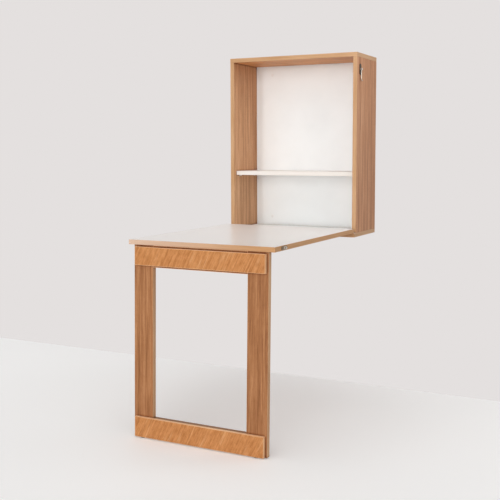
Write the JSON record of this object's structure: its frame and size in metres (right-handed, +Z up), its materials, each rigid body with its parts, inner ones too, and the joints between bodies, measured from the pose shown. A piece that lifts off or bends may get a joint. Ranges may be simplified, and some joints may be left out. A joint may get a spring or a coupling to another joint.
{
  "type": "wall mounted drop leaf table",
  "caption": "Shallow wall cabinet whose front folds down as a table leaf, held up by a hinged leg frame and locked shut by a cabin hook.",
  "frame": {"origin": "on the wall plane, midway between the two wall fixing holes in the hanging rail", "axes": "+X to the right when facing the cabinet, +Y into the wall, +Z up; the leaf opens towards -Y"},
  "size_m": [0.6108, 1.0426, 1.47],
  "materials": {
    "wood_board": "matt wood-look melamine on particle board",
    "rail_board": "matt wood-look melamine, grain across",
    "edge_band": "light wood-look PVC edge banding",
    "rail_wood": "plain plywood",
    "white_board": "matt white melamine",
    "white_band": "white PVC edge banding",
    "white_laminate": "glossy white laminate",
    "steel": "zinc plated",
    "hinge_steel": "nickel plated",
    "glide_plastic": "dark plastic"
  },
  "bodies": {
    "cabinet": {"side_panel_left": "wood_board", "side_panel_right": "wood_board", "top_panel": "wood_board", "bottom_panel": "wood_board", "back_panel": "white_board", "hanging_rail": "rail_wood", "lower_rail": "rail_wood", "shelf": "white_board", "shelf_edge_band": "white_band", "side_edge_bands": "edge_band", "top_edge_band": "edge_band", "bottom_edge_band": "edge_band", "shelf_pins": "steel", "leaf_hinge_board_wings": "hinge_steel", "leaf_hinge_pins": "steel", "hook_plate": "steel", "hook_pivot": "steel"},
    "leaf": {"leaf_panel": "wood_board", "leaf_top_laminate": "white_laminate", "leaf_edge_band": "edge_band", "leaf_hinge_leaf_wings": "hinge_steel", "catch_plate": "steel", "catch_staple": "steel", "leg_hinge_leaf_wings": "hinge_steel", "leg_hinge_pins": "steel"},
    "leg": {"leg_stile_left": "wood_board", "leg_stile_right": "wood_board", "leg_inner_rail": "wood_board", "leg_top_rail": "rail_board", "leg_bottom_rail": "rail_board", "stile_edge_bands": "edge_band", "rail_edge_bands": "edge_band", "leg_hinge_leg_wings": "hinge_steel", "foot_glides": "glide_plastic"},
    "hook": {"hook": "steel"}
  },
  "joints": [
    {"name": "leaf_hinge", "type": "hinge", "parent": "cabinet", "child": "leaf", "pos_m": [0, -0.2616, -0.6966], "axis": [-1, 0, 0], "range_deg": [0, 90]},
    {"name": "leg_hinge", "type": "hinge", "parent": "leaf", "child": "leg", "pos_m": [0, -0.9926, -0.6966], "axis": [1, 0, 0], "range_deg": [0, 91.4]},
    {"name": "hook_pivot", "type": "hinge", "parent": "cabinet", "child": "hook", "pos_m": [0.306, -0.204, -0.01], "axis": [-1, 0, 0], "range_deg": [0, 120]}
  ]
}
